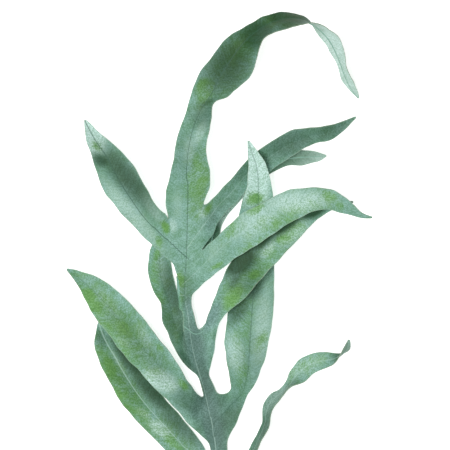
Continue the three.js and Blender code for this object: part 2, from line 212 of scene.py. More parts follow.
# A lobe grows from the rows of the axis that start at `row`, one row for each of its columns, and `wave` is
# its share of the wave height. The folded one is turned back behind the frond's midrib.
LOBES = [
    dict(name="left_4", side="left", row=4, columns=6, wave=0.2, path=[
        (2.8, -51.8, 4, 9, 8, 0),
        (-4.2, -42.7, 4.2, 10.5, 9.8, -4),
        (-11.9, -34.3, 4, 11, 11, -8),
        (-23.1, -22.1, 3.6, 12.2, 12.4, -12),
        (-35, -9.1, 3.4, 13, 12.6, -12),
        (-44.8, 2.8, 3.4, 14, 12.6, -12),
        (-53.9, 16.4, 3.8, 13.2, 12, -10),
        (-62.7, 31.5, 4.6, 11.6, 10.6, -6),
        (-69.3, 43.4, 5.6, 8.4, 7, 0),
        (-73.5, 54.6, 7, 0.8, 0.8, 0),
    ]),
    dict(name="left_3", side="left", row=12, columns=6, wave=1, path=[
        (-2.8, -9.1, 4.5, 10, 10, 0),
        (-11.2, 0.7, 8.5, 10.2, 7.4, 4),
        (-19.6, 11.2, 12, 12.4, 9.4, 8),
        (-35.7, 29.4, 16, 12.8, 13, 12),
        (-50.4, 45.5, 17.6, 12.8, 14.8, 12),
        (-61.6, 60.2, 17, 12.2, 14, 10),
        (-72.1, 72.1, 14.6, 10.6, 11, 4),
        (-82.6, 82.3, 12, 6, 7.4, -10),
        (-89.6, 87.9, 12, 3.4, 3.4, -16),
        (-95.5, 91.8, 13, 0.8, 0.8, -16),
    ]),
    dict(name="left_2", side="left", row=21, columns=6, wave=0.3, path=[
        (-12.6, 33.6, 6.5, 9, 7, 0),
        (-16.8, 44.1, 5.5, 6.6, 6.5, 0),
        (-21.4, 57.4, 4.2, 8, 7.4, -4),
        (-24.5, 70, 3, 6, 7.8, -6),
        (-29, 81.9, 1.8, 8.6, 8.4, -4),
        (-30.8, 94.5, 0.9, 8.6, 8.4, 0),
        (-30.1, 106.4, 0.8, 6.6, 6.4, 0),
        (-28.7, 119, 1.8, 3.6, 3.6, 0),
        (-27.7, 130.9, 3, 0.8, 0.8, 0),
    ]),
    dict(name="folded", side="left", row=30, columns=4, wave=0.3, path=[
        (-10.5, 77.7, 6.4, 9, 9, 180),
        (-4.9, 86.8, 5.2, 8, 8, 180),
        (0, 98, 4.2, 6.4, 6.4, 180),
        (5.3, 111.3, 3.6, 5.4, 5.4, 180),
        (8.6, 127.5, 3.2, 5.4, 5.4, 180),
        (19.5, 143.4, 3, 7, 7, 180),
        (34.5, 156.5, 3, 5, 8, 180),
        (47, 164.4, 3.2, 4.6, 7, 176),
        (58.6, 168.7, 4.2, 5.2, 6, 172),
        (69.3, 169.9, 5.4, 5.6, 5.4, 176),
        (77.7, 170.1, 6.8, 4.4, 4, 182),
        (85.4, 170.8, 8, 0.7, 0.7, 184),
    ]),
    dict(name="left_1", side="left", row=36, columns=6, wave=1, path=[
        (-21, 107.1, 19, 10, 10, 0),
        (-30.8, 116.9, 22, 9.6, 12, 0),
        (-41.3, 128.1, 25, 10.2, 11.6, 0),
        (-48.7, 138.6, 27, 12, 12.6, 0),
        (-56, 149.8, 28, 13.2, 13.6, 0),
        (-62.3, 161, 27.4, 12.6, 12.6, 0),
        (-67.2, 170.1, 26.6, 10.4, 10, 0),
        (-73.5, 179.2, 28, 7.6, 6.6, 0),
        (-78.8, 188.3, 30.6, 4.4, 3.6, 0),
        (-82.3, 195.3, 33, 0.8, 0.8, 0),
    ]),
    dict(name="right_4", side="right", row=3, columns=4, wave=0.6, path=[
        (18.9, -65.8, 5.2, 6, 6, 0),
        (26.6, -52.5, 6.5, 6, 6, 35),
        (32.2, -40.6, 8.5, 6, 6, 62),
        (37.5, -28.7, 10.4, 5.6, 6, 66),
        (43, -15.4, 11.4, 3.4, 8, 58),
        (44.5, -4.9, 11.4, 6, 6.5, 55),
        (51.1, 2.8, 10.6, 7, 7.4, 62),
        (58.1, 8.4, 9.8, 7.4, 7.4, 76),
        (65.1, 17.5, 9.2, 6.4, 9.6, 40),
        (73.5, 24.5, 9, 8.2, 6.2, 22),
        (82.6, 27.3, 9.2, 6.6, 6.6, 18),
        (89.6, 28.4, 10, 5.4, 5.4, 32),
        (95.2, 30.8, 11, 4.4, 4.4, 85),
        (99.4, 35, 12, 5, 3.4, 140),
        (101.2, 42.7, 13, 0.8, 0.8, 150),
    ]),
    dict(name="right_3", side="right", row=12, columns=6, wave=1, path=[
        (15.4, -9.1, 3.8, 9, 9, -6),
        (22.4, -2.8, 4.6, 8.6, 3.4, -22),
        (27.7, 7, 5, 11.2, 4.6, -28),
        (30.8, 20.3, 4.8, 14.8, 8.6, -12),
        (31.7, 33.6, 4.6, 17.4, 12, -2),
        (32.6, 47.6, 4.6, 17.6, 14, 3),
        (33.8, 64.4, 5, 16.8, 15, 5),
        (34.7, 78.4, 6, 15.4, 15.2, 5),
        (35.7, 92.4, 7.4, 14.6, 13.2, 3),
        (36.4, 106.4, 9.4, 14.6, 12.6, 0),
        (37.1, 120.4, 12, 14, 12, 0),
        (37.8, 134.4, 15.4, 12.6, 10.8, -4),
        (38.2, 147, 19, 9.6, 9.8, -8),
        (37.5, 159.6, 22, 6.8, 7.4, -8),
        (34.7, 170.1, 24.6, 4.4, 4.8, 0),
        (30.9, 181, 26, 0.8, 0.8, 0),
    ]),
    dict(name="right_2", side="right", row=21, columns=6, wave=0.8, path=[
        (-0.7, 42, 9, 7, 9, 0),
        (2.8, 48.3, 11.5, 5, 2.4, -8),
        (5.6, 54.6, 13.5, 4.6, 3.6, -12),
        (8.4, 62.3, 15.8, 4.6, 5.8, -10),
        (12.6, 70.7, 18, 5.4, 9.8, -4),
        (18.9, 80.5, 20, 7.8, 14, 6),
        (25.9, 89.6, 21.6, 10.6, 14.6, 12),
        (34.3, 98.7, 23, 12, 14, 14),
        (44.1, 107.1, 24, 12, 12.6, 12),
        (54.6, 115.5, 24, 10, 9.8, 8),
        (65.1, 123.9, 23.4, 7.8, 8.4, 4),
        (74.9, 130.2, 22, 5.6, 5.6, 0),
        (84.7, 134.4, 20, 4, 3.4, 0),
        (95, 137.2, 18.6, 2, 2, 0),
        (103.9, 138.6, 18, 0.7, 0.7, 0),
    ]),
    dict(name="right_middle", side="right", row=32, columns=6, wave=0.8, path=[
        (-3.5, 90.3, 18, 8.6, 11, 0),
        (3.5, 98, 20.4, 8.4, 10.8, 0),
        (11.2, 105.4, 23.2, 8.4, 11.4, 4),
        (20.3, 112.7, 26.6, 9.2, 12.6, 6),
        (30.8, 119.7, 30, 11.2, 12.6, 4),
        (41.3, 126.7, 33, 10.4, 12, 0),
        (52.5, 133, 35.4, 10, 11.2, -2),
        (63.7, 137.9, 37, 10, 10.6, -6),
        (74.9, 140.5, 37.4, 8.6, 8.8, -10),
        (86.1, 140.5, 36, 7.8, 7.8, -16),
        (95.2, 137.9, 33.4, 6, 6.4, -20),
        (102.2, 133.5, 30.6, 3.6, 5, -20),
        (108.5, 129.6, 27.6, 1.5, 2.8, -10),
        (116.9, 127.7, 24.6, 0.7, 0.7, 0),
    ]),
    dict(name="right_1", side="right", row=38, columns=6, wave=0.8, path=[
        (-2.1, 121.1, 18.8, 9, 8.5, -4),
        (4.2, 128.8, 17.2, 8.6, 7.4, -10),
        (10.8, 136.5, 15.8, 7.4, 6.8, -16),
        (18.9, 144.9, 14.6, 7.4, 7.2, -20),
        (27.7, 155.1, 13.8, 7, 7.6, -18),
        (36.4, 162.8, 13.6, 8.4, 8.4, -12),
        (46.2, 169.8, 14.2, 9, 7.8, -10),
        (56.7, 176.4, 15.4, 9, 7.8, -8),
        (67.9, 182, 17, 8.8, 6, -12),
        (79.1, 185.5, 18.8, 5.4, 6, -22),
        (89.6, 188.3, 20.6, 4.4, 6, -18),
        (98, 192.9, 22.4, 2.2, 2.8, -10),
        (105.6, 197.5, 24, 0.7, 0.7, 0),
    ]),
]
print(len(LOBES), "side lobes and the top one")

# %% [markdown]
# ## The cage of the blade
# A blade like this could be cut from a flat sheet and bent, but its lobes twist one by one. So each lobe is
# a grid primitive whose rows of points are laid along its midrib: two halves that rise from it a little,
# with waved margins. The first grid is the frond's axis with the top lobe.

# %% The axis
# The length of a row of faces, the columns across, and the axis's share of the wave height.
AXIS_ROW = 5.25
AXIS_COLUMNS = 6
AXIS_WAVE = 0.8
# The points by which a smooth line is measured, for each station.
SAMPLES = 20
# The halves rise by this many degrees. The waves of the right margin lag behind by this many radians.
KEEL_ANGLE = 8
WAVE_LENGTH = 31
WAVE_HEIGHT = 1.3
WAVE_LAG = 2


def smooth(rows, shares):
    """Numbers at some shares of a smooth line through rows of numbers."""
    rows = np.asarray(rows, float)
    ends = np.vstack([2 * rows[0] - rows[1], rows, 2 * rows[-1] - rows[-2]])
    place = np.clip(shares, 0, 1) * (len(rows) - 1)
    k = np.minimum(place.astype(int), len(rows) - 2)
    w = (place - k)[:, None]
    before, start, end, after = ends[k], ends[k + 1], ends[k + 2], ends[k + 3]
    a, b = (end - before) / 2, (after - start) / 2
    return start + w * (a + w * (3 * (end - start) - 2 * a - b + w * (2 * (start - end) + a + b)))


def unit(rows):
    """The same directions, each of length 1."""
    return rows / np.linalg.norm(rows, axis=-1, keepdims=True)


def blade_rows(path, row_length, columns, wave):
    """Distances along the midrib, its directions, rows of points across it and their distances from it."""
    path = np.asarray(path, float)
    fine = np.linspace(0, 1, SAMPLES * len(path) + 1)
    steps = np.linalg.norm(np.diff(smooth(path[:, :3], fine), axis=0), axis=1)
    length = np.concatenate([[0], np.cumsum(steps)])
    count = int(length[-1] / row_length + 0.5)
    along = np.linspace(0, length[-1], count + 1)
    shares = np.interp(along, length, fine)
    left, right, turn = smooth(path[:, 3:], shares).T
    step = 1e-4
    forward = unit(smooth(path[:, :3], shares + step) - smooth(path[:, :3], shares - step))
    level = unit(np.cross(forward, (0, 0, 1)))
    above = unit(np.cross(level, forward))
    turn = np.radians(turn)[:, None]
    across = level * np.cos(turn) + above * np.sin(turn)
    normal = np.cross(across, forward)
    ends = np.sin(np.pi * np.arange(count + 1) / count) ** 0.5
    share = np.linspace(-1, 1, columns + 1)[None, :]
    width = np.where(share < 0, left[:, None], right[:, None]) * np.abs(share)
    phase = 2 * np.pi * along[:, None] / WAVE_LENGTH + np.where(share < 0, 0, WAVE_LAG)
    ripple = wave * WAVE_HEIGHT * share**2 * ends[:, None] * np.sin(phase)
    keel = math.radians(KEEL_ANGLE)
    out = np.sign(share) * width * math.cos(keel)
    up = width * math.sin(keel) + ripple
    middle = smooth(path[:, :3], shares)[:, None, :]
    points = middle + across[:, None, :] * out[..., None] + normal[:, None, :] * up[..., None]
    return along, forward, points, np.sign(share) * width


def lay_grid(name, number, points, across, along):
    """A grid primitive laid through rows of points. Its map holds mm across from and along the midrib."""
    rows, columns = points.shape[0] - 1, points.shape[1] - 1
    bpy.ops.mesh.primitive_grid_add(x_subdivisions=columns, y_subdivisions=rows, size=1)
    grid = bpy.context.object
    grid.name = name
    mesh = grid.data
    places = (points - np.array([*REST, 0])) * MM
    mesh.vertices.foreach_set("co", places.reshape(-1, 3).ravel())
    corner = np.zeros(len(mesh.loops), int)
    mesh.loops.foreach_get("vertex_index", corner)
    layer = mesh.uv_layers[0]
    layer.name = "lamina"
    pairs = np.stack([across.ravel(), np.repeat(along, columns + 1)], axis=1)
    layer.uv.foreach_set("vector", pairs[corner].ravel())
    lobe = mesh.attributes.new("lobe", "INT", "FACE")
    lobe.data.foreach_set("value", np.full(len(mesh.polygons), number))
    return grid


axis_along, axis_forward, axis_points, axis_across = blade_rows(AXIS, AXIS_ROW, AXIS_COLUMNS, AXIS_WAVE)
grids = [lay_grid("top lobe", 0, axis_points, axis_across, axis_along)]
print("rows along the axis", len(axis_along))

# %% [markdown]
# ## Lobes
# On the fern a lobe's tissue runs on into the blade of the axis without a seam. So the root of a lobe
# starts on the points of the axis's own margin and opens out in a smooth curve, which replaces its first
# stretch. The grids are then joined and merged into one sheet. Extruding the margin would do the same, but
# the lobe would be harder to lay along its own midrib.

# %% Lobes
LOBE_ROW = 6.3
# The stretch that the opening replaces, and its rows.
ROOT_REACH = 15
ROOT_ROWS = 4
# How far the tissue leaves the axis lengthwise: apart at the two sides of a root, and upwards.
ROOT_LEAN = 0.7
ROOT_RISE = 0.2
# How long the opening keeps its direction, as a share of its span. The folded lobe dips below the axis.
ROOT_HANDLE = 1 / 3
FOLD_HANDLE = 0.45
FOLD_DROP = 0.25
MERGE_DISTANCE = 0.002


def lobe_rows(lobe):
    """Rows of a lobe from the axis's margin to its tip, with distances across and along."""
    columns = lobe["columns"]
    folded = lobe["name"] == "folded"
    along, forward, points, across = blade_rows(lobe["path"], LOBE_ROW, columns, lobe["wave"])
    kept = along >= ROOT_REACH
    along, forward, points, across = along[kept], forward[kept], points[kept], across[kept]
    on_left = lobe["side"] == "left"
    steps = np.arange(columns + 1)
    rows = lobe["row"] + (steps if on_left else columns - steps)
    edge, inner = (0, 1) if on_left else (AXIS_COLUMNS, AXIS_COLUMNS - 1)
    start = axis_points[rows, edge]
    outward = unit(start - axis_points[rows, inner])
    if folded:
        outward[:, 2] = -FOLD_DROP
    else:
        lean = (1 if on_left else -1) * (1 - 2 * steps / columns)
        outward = unit(outward + axis_forward[rows] * (ROOT_LEAN * lean + ROOT_RISE)[:, None])
    goal = points[0]
    reach = (FOLD_HANDLE if folded else ROOT_HANDLE) * np.linalg.norm(start - goal, axis=1)[:, None]
    first, second = start + outward * reach, goal - forward[0] * reach
    opening = []
    for i in range(ROOT_ROWS):
        s = i / ROOT_ROWS
        a, b, c, d = (1 - s) ** 3, 3 * (1 - s) ** 2 * s, 3 * (1 - s) * s**2, s**3
        opening.append(a * start + b * first + c * second + d * goal)
    root_along = np.arange(ROOT_ROWS) / ROOT_ROWS * along[0]
    return (
        np.concatenate([np.array(opening), points]),
        np.concatenate([np.repeat(across[:1], ROOT_ROWS, axis=0), across]),
        np.concatenate([root_along, along]),
    )


for number, lobe in enumerate(LOBES, 1):
    grids.append(lay_grid(lobe["name"], number, *lobe_rows(lobe)))
bpy.ops.object.select_all(action="DESELECT")
for grid in grids:
    grid.select_set(True)
bpy.context.view_layer.objects.active = grids[0]
bpy.ops.object.join()
blade = bpy.context.object
blade.name = "blade"
bpy.ops.object.mode_set(mode="EDIT")
bpy.ops.mesh.select_all(action="SELECT")
bpy.ops.mesh.remove_doubles(threshold=MERGE_DISTANCE * MM)
bpy.ops.mesh.select_all(action="DESELECT")
bpy.ops.object.mode_set(mode="OBJECT")
print("the cage has", len(blade.data.vertices), "points and", len(blade.data.polygons), "faces")

# %% [markdown]
# ## From the cage to the blade
# Each half of a lobe is nearly flat and meets the other in a crisp fold at the midrib, so the edges there
# get a crease before the sheet is subdivided. The fold could be modelled with extra rows of faces, but a
# crease keeps the cage light.

# %% Crease and subdivide
MIDRIB_CREASE = 0.8


def read(mesh, domain, name, width=1):
    """An array of a mesh's numbers, such as its points' places."""
    data = getattr(mesh, domain)
    values = np.zeros(len(data) * width)
    data.foreach_get(name, values)
    return values.reshape(-1, width) if width > 1 else values


def map_at_points(mesh):
    """The distances across from and along the midrib, read at the points."""
    pairs = read(mesh.uv_layers["lamina"], "uv", "vector", 2)
    corner = read(mesh, "loops", "vertex_index").astype(int)
    found = np.zeros((len(mesh.vertices), 2))
    found[corner] = pairs
    return found


mesh = blade.data
across = map_at_points(mesh)[:, 0]
ends = read(mesh, "edges", "vertices", 2).astype(int)
on_midrib = np.all(np.abs(across[ends]) < 1e-6, axis=1)
mesh.edges.foreach_set("select", on_midrib)
mesh.attributes.new("crease_edge", "FLOAT", "EDGE").data.foreach_set("value", on_midrib * MIDRIB_CREASE)
finer = blade.modifiers.new("finer", "SUBSURF")
finer.levels = finer.render_levels = 2
finer.uv_smooth = "NONE"
bpy.ops.object.modifier_apply(modifier=finer.name)
print("the sheet has", len(blade.data.polygons), "faces")

# %% [markdown]
# ## Relief
# A living blade is never smooth: it swells a little between its side veins, its halves have low blisters,
# and its margin wanders. A displacement modifier with textures could do this, but the veins follow the
# midrib and not the world's axes, so the points of the sheet are moved along their normals by their place
# on the lobe. Their distance from the margin is stored too, because the rim is drawn by it later.

# %% Relief
# The side veins' distance along the midrib, their slant, and the height of the swellings between them.
VEIN_SPACING = 5.6
VEIN_LEAN = 0.75
VEIN_RELIEF = 0.05
# The blisters start a little way out from the midrib.
BLISTER_SIZE = 15
BLISTER_RELIEF = 0.55
BLISTER_START = 5
# The margin's wandering fades out inwards. A seed makes it the same each time.
MARGIN_WAVE = 9
MARGIN_SHIFT = 0.9
MARGIN_REACH = 3
WAVE_SEED = 4

mesh = blade.data
places = read(mesh, "vertices", "co", 3)
normals = read(mesh, "vertices", "normal", 3)
across, along = map_at_points(mesh).T
edge_of_corner = read(mesh, "loops", "edge_index").astype(int)
open_edges = np.flatnonzero(np.bincount(edge_of_corner, minlength=len(mesh.edges)) == 1)
rim_points = np.unique(read(mesh, "edges", "vertices", 2).astype(int)[open_edges])
tree = kdtree.KDTree(len(rim_points))
for i, k in enumerate(rim_points):
    tree.insert(places[k], i)
tree.balance()
inward = np.array([tree.find(p)[2] for p in places]) / MM
mesh.attributes.new("inward", "FLOAT", "POINT").data.foreach_set("value", inward)

noise.seed_set(WAVE_SEED)
blister = np.array([noise.noise(Vector(p) / (BLISTER_SIZE * MM)) for p in places])
wander = np.array([noise.noise_vector(Vector(p) / (MARGIN_WAVE * MM)) for p in places])
swelling = np.cos(2 * np.pi * (along - np.abs(across) * VEIN_LEAN) / VEIN_SPACING)
outer = np.minimum(np.abs(across) / BLISTER_START, 1)
relief = (BLISTER_RELIEF * blister + VEIN_RELIEF * swelling) * outer
near_margin = np.exp(-inward / MARGIN_REACH) * outer
places += (normals * relief[:, None] + wander * (MARGIN_SHIFT * near_margin)[:, None]) * MM
mesh.vertices.foreach_set("co", places.ravel())
mesh.update()
print(len(rim_points), "points on the margins")
print("relief from", round(relief.min(), 2), "to", round(relief.max(), 2), "mm")

# %% [markdown]
# ## Wax, rubs, painted sheen and painted shade
# The bloom of wax is thick and pale in some places and rubbed off in others, where the green shows. The pale
# patches also carry a painted sheen where lit crests would shine, and the dark ones are painted shade where
# lobes lie under others, in folds and on places turned from the light. Noise alone would spread all this
# evenly, so the larger patches are written down by lobe, place, half length, half width, turn and strength,
# in the stations' millimetres, and stored on the points for the material to read.

# %% Patches
# The higher this is, the more suddenly a patch ends.
PATCH_EDGE = 1.5
RUBBED = [
    ("top", 0, 218, 8, 5, 70, 1.0),
    ("top", -4, 165.6, 8, 4.5, 100, 0.8),
    ("top", -4, 152, 28, 9, 85, 0.7),
    ("top", 20, 237, 34, 15, 55, 0.5),
    ("left_3", -60, 52, 52, 15, 130, 0.7),
    ("left_4", -60, 10, 50, 12, 124, 0.8),
    ("left_4", -25, -25, 30, 14, 140, 0.45),
    ("right_2", 35, 92, 45, 14, 48, 0.5),
    ("right_3", 27, 55, 40, 9, 88, 0.4),
    ("right_middle", 58, 128, 44, 9, 20, 0.45),
    ("right_4", 70, 22, 26, 9, 28, 0.4),
    ("left_2", -30, 80, 40, 12, 100, 0.35),
    ("top", -2, 150, 13, 6, 80, 0.9),
    ("top", -5.6, 140, 8, 4, 80, 0.6),
    ("top", 25, 245, 20, 9, 55, 0.8),
    ("top", 1.5, 213, 11, 5, 60, 0.9),
    ("top", 53, 265, 22, 7, 5, 0.8),
    ("top", 60, 260, 12, 2.5, -5, 0.8),
    ("right_1 top", 3, 134, 6, 2.5, 60, 1.0),
    ("left_1", -74, 177, 5, 3, 130, 0.8),
    ("left_1 top", -26.6, 121, 5, 3, 110, 1.2),
    ("left_1", -31, 111, 5, 3, 100, 0.8),
    ("top right_middle left_1", -17, 84, 6, 4.5, 100, 1.2),
    ("top right_middle", -14.7, 75.6, 10, 6, 80, 0.5),
    ("right_middle", 9.5, 94.5, 6, 2, 30, 0.8),
    ("right_middle", 18, 119, 9, 5, 50, 0.7),
    ("right_middle", 35.7, 135, 8, 5, 40, 0.9),
    ("right_middle", 53, 125, 16, 4, 30, 0.7),
    ("right_middle", 88, 142, 8, 5, -20, 0.75),
    ("right_middle", 93, 136.5, 7, 4, -40, 0.6),
    ("right_middle", 35.7, 110, 20, 3.5, 32, 0.5),
    ("right_3", 35.7, 140.7, 6, 5, 0, 1.2),
    ("right_2", 60, 117, 15, 7, 42, 0.75),
    ("right_2", 53, 112.7, 5, 3, 40, 1.0),
    ("right_2", 35, 88, 5, 3.5, 30, 1.2),
    ("right_2", 20.3, 72.8, 12, 7, 55, 1.1),
    ("right_3", 40, 42, 8, 4, 60, 0.8),
    ("right_3", 27, 19.6, 9, 5, 90, 0.6),
    ("left_2", -33, 102, 5, 3, 80, 1.1),
    ("left_2", -33.6, 86.8, 12, 5, 95, 0.6),
    ("left_2", -30.8, 70, 10, 5, 70, 0.6),
    ("left_2", -22, 52, 16, 5, 110, 0.5),
    ("left_3", -77.7, 69.3, 14, 6, 125, 1.2),
    ("left_3", -56.7, 50.4, 9, 6, 130, 1.2),
    ("left_3", -54.6, 34.3, 7, 4, 125, 0.9),
    ("left_3", -30.8, 37, 4, 3, 130, 0.8),
    ("left_3", -14, 11.2, 6, 3, 120, 0.9),
    ("left_3", -88, 87, 7, 3, 150, 0.4),
    ("left_4", -65.8, 23.8, 11, 5, 115, 1.2),
    ("left_4", -60, 7, 12, 5, 120, 0.9),
    ("left_4", -22.4, -28.7, 10, 5, 140, 0.9),
    ("right_4", 72, 25, 9, 5, 30, 0.6),
]
# Thick pale wax, also standing for painted sheen where lit crests would shine.
BLOOM_AND_SHEEN = [
    ("left_1", -79, 183.4, 15, 10, 115, 1.7),
    ("left_1", -50, 130, 38, 7, 130, 0.65),
    ("left_1", -35.7, 134.4, 14, 4.5, 125, 0.6),
    ("top", -22.4, 122.5, 6, 5, 90, 0.7),
    ("top", -18.2, 136.5, 14, 5, 90, 0.4),
    ("top", -2.8, 186, 13, 4, 65, 0.7),
    ("top", -9.8, 175, 12, 5, 80, 0.6),
    ("top", -0.7, 203, 7, 4, 60, 0.4),
    ("top", 35.7, 239.4, 14, 3.5, 75, 0.35),
    ("top", 60, 260, 12, 2.5, -5, 0.8),
    ("right_1 top", -0.7, 131, 5, 4, 90, 0.7),
    ("right_3", 32, 166, 28, 14, 95, 2.2),
    ("right_3", 40.6, 150.5, 14, 6, 100, 1.0),
    ("right_middle", 37, 127, 26, 12, 35, 0.7),
    ("right_middle", 65, 138.6, 28, 9, 5, 0.9),
    ("right_middle", 7.7, 105, 12, 8, 40, 0.4),
    ("right_2", 44.8, 105.7, 9, 4, 50, 0.9),
    ("right_2", 62, 117, 16, 7, 42, 0.8),
    ("right_3", 41, 52, 34, 8, 85, 0.65),
    ("right_3", 21.5, 33, 16, 8, 100, 0.75),
    ("left_3", -67, 68.6, 16, 5, 130, 0.5),
    ("left_3", -56, 40.6, 6, 3, 150, 0.7),
    ("left_3", -41.3, 44, 12, 5, 120, 0.6),
    ("left_3", -30, 14, 14, 8, 155, 1.2),
    ("left_4", -42.7, -9, 7, 3, 150, 0.9),
    ("left_4", -31, -20, 11, 5, 145, 1.1),
    ("left_4", -60, 26.6, 12, 2.5, 118, 0.6),
    ("right_4", 67, 22, 24, 7, 25, 0.6),
    ("right_4", 47.6, 0, 16, 5, 55, 0.8),
    ("left_2", -30, 92.4, 14, 5, 100, 0.6),
]
# Painted shade: where lobes lie under others, in folds and on places turned from the light.
PAINTED_SHADE = [
    ("top", 2, 206.5, 9, 3, 30, 0.8),
    ("top", 18, 234, 28, 18, 55, 0.95),
    ("top", 36, 254, 22, 15, 35, 1.0),
    ("top", 58, 266, 24, 13, 0, 1.05),
    ("left_1", -71.4, 168, 10, 5.5, 155, 0.95),
    ("left_1", -53, 155, 32, 9, 130, 0.9),
    ("right_1", 14.7, 142, 26, 10, 45, 0.25),
    ("right_1", 35.7, 164.5, 22, 9, 35, 0.6),
    ("right_1", 60, 180, 24, 11, 20, 0.75),
    ("right_1", 88, 189, 20, 9, 15, 0.7),
    ("right_2", 25, 98, 15, 11, 45, 1.25),
    ("right_2", 40, 111, 16, 5, 38, 1.1),
    ("right_2", 57, 122, 15, 4, 34, 1.1),
    ("right_2", 76, 132, 11, 5, 25, 1.2),
    ("right_2", 23, 87.5, 12, 5, 70, 0.8),
    ("right_3", 24, 64, 12, 7, 60, 0.8),
    ("right_3", 34.3, 77, 10, 7, 60, 0.7),
    ("left_2", -22, 77, 26, 8, 105, 0.82),
    ("left_2", -19, 49, 28, 10, 115, 0.65),
    ("left_2", -13, 28, 14, 5, 120, 0.8),
    ("left_4", -51, 32, 30, 10, 122, 1.1),
    ("left_4", -34, 6, 28, 9, 135, 1.0),
    ("left_4", -15, -15, 26, 11, 138, 0.8),
    ("left_4", -71.4, 43.4, 9, 6, 110, 0.6),
    ("left_3", -10, -1, 16, 9, 140, 0.6),
    ("top left_2 left_3 right_2", -6.3, 38.5, 24, 8, 100, 0.45),
    ("top right_3 left_3", -1, 12, 26, 13, 100, 0.6),
    ("top left_3 left_4", 9, -20, 30, 15, 100, 0.5),
    ("right_4", 44, -18, 34, 10, 70, 0.5),
    ("top", -2, 148, 24, 9, 88, 0.2),
    ("top", 2, 200, 15, 11, 60, 0.65),
    ("top", -10, 172, 18, 12, 90, 0.3),
    ("right_3", 40, 60, 40, 12, 88, 0.15),
    ("right_3", 36, 28, 24, 11, 86, 0.3),
    ("right_2", 31, 84, 14, 9, 50, 0.5),
    ("left_3", -44, 38, 48, 9, 130, 0.4),
    ("left_4", -56, 16, 30, 8, 124, 0.4),
    ("right_4", 97, 34, 10, 7, 60, 0.8),
    ("right_4", 42, -22, 24, 5, 80, 0.6),
    ("right_4", 60, 8, 9, 4, 50, 0.5),
    ("top right_3", 16.8, -13, 17, 10, 60, 0.65),
    ("top right_3", 12.5, -1, 11, 5.5, 95, 0.6),
    ("folded", 5.6, 114, 12, 6, 60, 1.2),
    ("folded", 52, 165, 34, 10, 20, 0.9),
    ("top right_middle", -13, 76, 14, 8, 90, 0.4),
]
GREY = [
    ("top left_2", -10, 63, 12, 5, 95, 0.9),
    ("top left_2 left_3 right_2", -5.6, 35, 30, 9, 100, 1.0),
    ("top left_3 right_3 left_4", 2, 0, 30, 10, 100, 1.0),
    ("top right_3 left_4", 5.6, -21, 25, 11, 100, 1.0),
    ("right_2 top", 5, 58, 16, 6, 60, 0.9),
    ("left_3", -2.8, -8.4, 10, 7, 130, 0.8),
    ("right_1 top", 8, 128, 20, 5, 45, 0.5),
    ("right_4", 44, -12, 34, 9, 70, 0.4),
]


def paint(patches):
    """The strongest patch at each point of the blade."""
    painted = np.zeros(len(spots))
    for lobes, x, y, half_length, half_width, turn, strength in patches:
        on_lobe = np.isin(lobe_of_point, [LOBE_NAMES.index(name) for name in lobes.split()])
        x_way, y_way = math.cos(math.radians(turn)), math.sin(math.radians(turn))
        dx, dy = spots[:, 0] - x, spots[:, 1] - y
        lengthwise = (dx * x_way + dy * y_way) / half_length
        crosswise = (dy * x_way - dx * y_way) / half_width
        reach = lengthwise**2 + crosswise**2
        painted = np.maximum(painted, on_lobe * strength * np.exp(-(reach**PATCH_EDGE)))
    return painted


LOBE_NAMES = ["top"] + [lobe["name"] for lobe in LOBES]
lobe_of_face = read(mesh.attributes["lobe"], "data", "value").astype(int)
corner = read(mesh, "loops", "vertex_index").astype(int)
lobe_of_point = np.zeros(len(mesh.vertices), int)
lobe_of_point[corner] = np.repeat(lobe_of_face, 4)
spots = places[:, :2] / MM + REST
# The bloom patches hold thick wax and painted sheen, the deep ones painted shade.
for name, patches in (("rubbed", RUBBED), ("bloom", BLOOM_AND_SHEEN), ("deep", PAINTED_SHADE), ("grey", GREY)):
    mesh.attributes.new(name, "FLOAT", "POINT").data.foreach_set("value", paint(patches))
print("patches painted on", len(spots), "points")

# %% [markdown]
# ## Midribs
# Each lobe has a midrib of its own, which leaves the frond's midrib and runs in the fold to the tip. It is
# a slim rod that lies inside the blade and stands out underneath. From above it is only a line, which the
# next step draws. A rod that follows a surface is easiest as a curve with a round bevel, so its points are
# laid on the sheet first.

# %% Tubes on the sheet
BLADE_THICKNESS = 0.5
RIB_STEP = 1.4
RIB_SIDES = 8
# Radii at the root and the tip: of a lobe's midrib, of the top lobe's and of the lip.
RIB_RADII = (0.75, 0.25)
TOP_RADII = (0.65, 0.25)
LIP_RADII = (0.45, 0.25)
# How far a tube stands out of the upper side, as a share of its radius.
RIB_PEAK = -0.3
LIP_PEAK = 0.9
LAYING_STEPS = 4
# The points of the straight stretch from the frond's midrib to where a lobe is as wide as its stations say.
STRAIGHT_POINTS = 4
# The row of the axis at which each lobe's midrib leaves it. The folded one starts at its own root.
RIB_ROWS = {
    "left_4": 5,
    "left_3": 15.5,
    "left_2": 23,
    "left_1": 37,
    "right_4": 4,
    "right_3": 14,
    "right_2": 26,
    "right_middle": 33.5,
    "right_1": 38,
}

# The curled margin of a notch lies across the frond's midrib, as a fine pale lip.
LIP = [
    (-13.7, 51.8, 10),
    (-10.2, 49, 10),
    (-7.7, 47, 10),
    (-5.3, 46.4, 10),
    (-2.4, 47.1, 10),
    (0.8, 49.7, 10),
]


